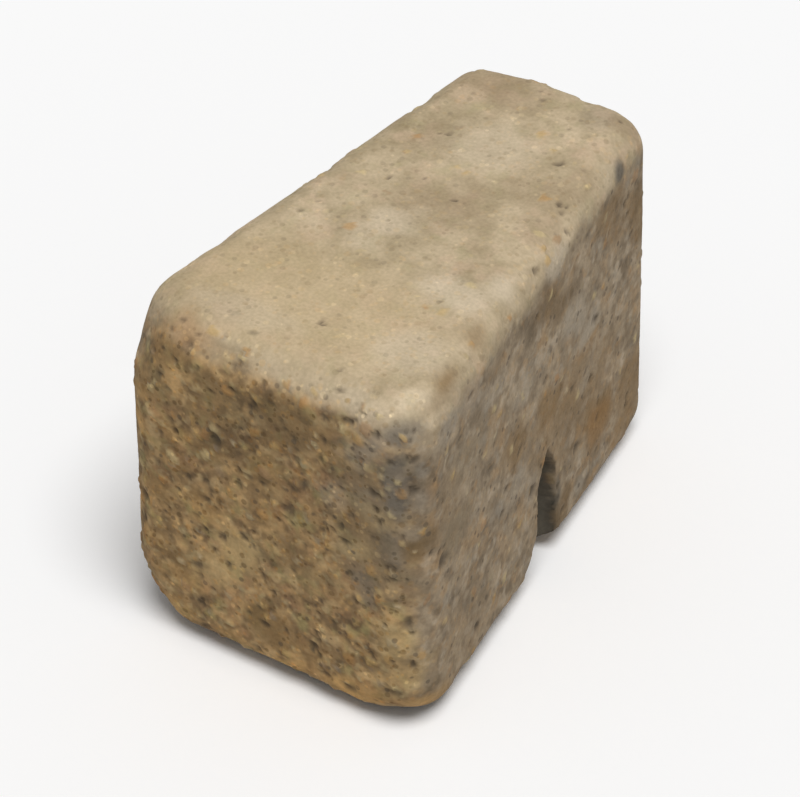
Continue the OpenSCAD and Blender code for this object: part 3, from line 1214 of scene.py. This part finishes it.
    ((-58, -40, 40), (14, 30, 22), EARTH, 0.5),
    ((-52, 5, 120), (14, 34, 14), EARTH, 0.5),
    ((-48, 50, 80), (14, 22, 24), GREY_PASTE_AND_PAINTED_LIGHT, 0.5),
    ((-40, 88, 118), (14, 14, 26), DARK_EARTH, 0.4),
    ((10, 100, 60), (24, 14, 20), EARTH, 0.5),
    ((-14, 100, 118), (20, 14, 14), GREY_PASTE_AND_PAINTED_LIGHT, 0.5),
]


# %% Work out how the stains cover the paste
def laid_stains(points, stains):
    """How much of the paste the stains cover at each point, and the colour they have there.

    A stain covers strength x rise(1 - distance) of what is under it, where the distance from
    its middle is counted in its radii. Each one keeps 1 - cover of the paste that still
    shows and of the colour laid so far, and adds cover x its own colour.
    """
    bare, laid = np.ones(len(points)), np.zeros((len(points), 3))
    for centre, radii, colour, strength in stains:
        away = (points - np.multiply(centre, MM)) / np.multiply(radii, MM)
        covers = strength * rise(1 - np.linalg.norm(away, axis=1), 0, 0.65)
        bare *= 1 - covers
        laid = laid * (1 - covers)[:, None] + covers[:, None] * np.array(colour)
    return 1 - bare, laid / np.maximum(1 - bare, 1e-6)[:, None]


# %% Lay the stains
ragged = bent(skin, reach=4 * MM, size=14 * MM, seed=501)
cover, stain_colour = laid_stains(ragged, STAINS)
store(worn_mesh, cover=cover, stain=stain_colour)
paste = concrete.mix(concrete.read("cover"), paste, concrete.read("stain", output=0))
print(len(STAINS), "stains cover", round(cover.mean(), 2), "of the paste")

# %% Set the stones and the grains into the paste
STONE_COLOURS = [(0.0, (0.66, 0.53, 0.34)), (0.3, (0.58, 0.40, 0.16)),
                 (0.5, (0.44, 0.22, 0.07)), (0.7, (0.30, 0.25, 0.19)),
                 (0.9, (0.64, 0.50, 0.26))]
GRAIN_SHADES = [(0.0, (0.55, 0.54, 0.52)), (0.25, (0.80, 0.74, 0.64)), (0.45, (1.0, 1.0, 1.0)),
                (0.65, (1.10, 0.98, 0.82)), (0.85, (1.25, 1.22, 1.10)), (1.0, (1.5, 1.5, 1.45))]
STONES_SHOW, GRAINS_SHOW, MORE_WHERE_TORN = 0.6, 0.35, 0.5

stone_colour = concrete.ramp(concrete.read("tint"), STONE_COLOURS)
skin_colour = concrete.mix(concrete.read("stone") * STONES_SHOW, paste, stone_colour)
grains_show = concrete.read("torn") * MORE_WHERE_TORN + GRAINS_SHOW
for size, seed, share in ((3.0 * MM, 11, 0.55), (1.9 * MM, 12, 0.45)):
    grain, number = grains(size, seed, share)
    shade = concrete.ramp(number, GRAIN_SHADES)
    skin_colour = concrete.mix(grain * grains_show, skin_colour, shade, "MULTIPLY")
print("nodes with the grains:", len(concrete.tree.nodes))

# %% Darken the pits and pinholes with dirt and painted shade, and the notches with painted shade
PIT_DIRT_AND_SHADE = (0.10, 0.078, 0.055, 1)
# The notches are painted dark: painted shade, darkest at the mouth and lighter deeper in.
MOUTH_PAINTED_SHADE, DEEP_PAINTED_SHADE = (0.035, 0.031, 0.024, 1), (0.14, 0.126, 0.098, 1)
PITS_FILL, NOTCHES_SHADED = 0.85, 0.9
PINHOLES_FILL, LESS_WHERE_BLEACHED = 0.55, 0.35

# The pits and the pinholes are darkened by dirt and by painted shade.
skin_colour = concrete.mix(concrete.read("pit") * PITS_FILL, skin_colour, PIT_DIRT_AND_SHADE)
pinholes = grains(4.2 * MM, 13, 0.5, outer=0.32, inner=0.2)[0]
pinholes_fill = PINHOLES_FILL - concrete.read("bleached") * LESS_WHERE_BLEACHED
skin_colour = concrete.mix(pinholes * pinholes_fill, skin_colour, PIT_DIRT_AND_SHADE)
# painted shade in the notches, lighter where a notch is deep
notch_painted_shade = concrete.mix(concrete.read("thin_dirt"), MOUTH_PAINTED_SHADE, DEEP_PAINTED_SHADE)
skin_colour = concrete.mix(concrete.read("hollow") * NOTCHES_SHADED, skin_colour, notch_painted_shade)
print("nodes with the dirt:", len(concrete.tree.nodes))

# %% Scatter the sand and finish the surface
SAND_DARK, SAND_PALE = (0.92, 0.92, 0.91, 1), (1.08, 1.08, 1.08, 1)
SAND_SHOWS, SAND_BUMP = 0.8, 0.4 * MM

sand = concrete.node("TexNoise", Vector=place, Scale=1 / (1.4 * MM), Detail=2.0, Roughness=0.5)
sand_shade = concrete.mix(concrete.step(sand, 0.3, 0.7), SAND_DARK, SAND_PALE)
skin_colour = concrete.mix(SAND_SHOWS, skin_colour, sand_shade, "MULTIPLY")
bump = concrete.node("Bump", Strength=0.2, Distance=SAND_BUMP, Height=sand)
shader = concrete.node("BsdfPrincipled", Base_Color=skin_colour, Roughness=0.92,
                       Specular_IOR_Level=0.25, Normal=bump)
concrete.node("OutputMaterial", Surface=shader)
worn_mesh.materials.append(concrete.material)
print("nodes of the whole finish:", len(concrete.tree.nodes))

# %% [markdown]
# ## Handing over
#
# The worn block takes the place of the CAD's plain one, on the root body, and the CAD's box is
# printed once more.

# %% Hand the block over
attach(wall_block, "root")
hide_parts("block")

print("CAD box in mm:", [round(c / MM, 2) for c in (*cad_low, *cad_high)])
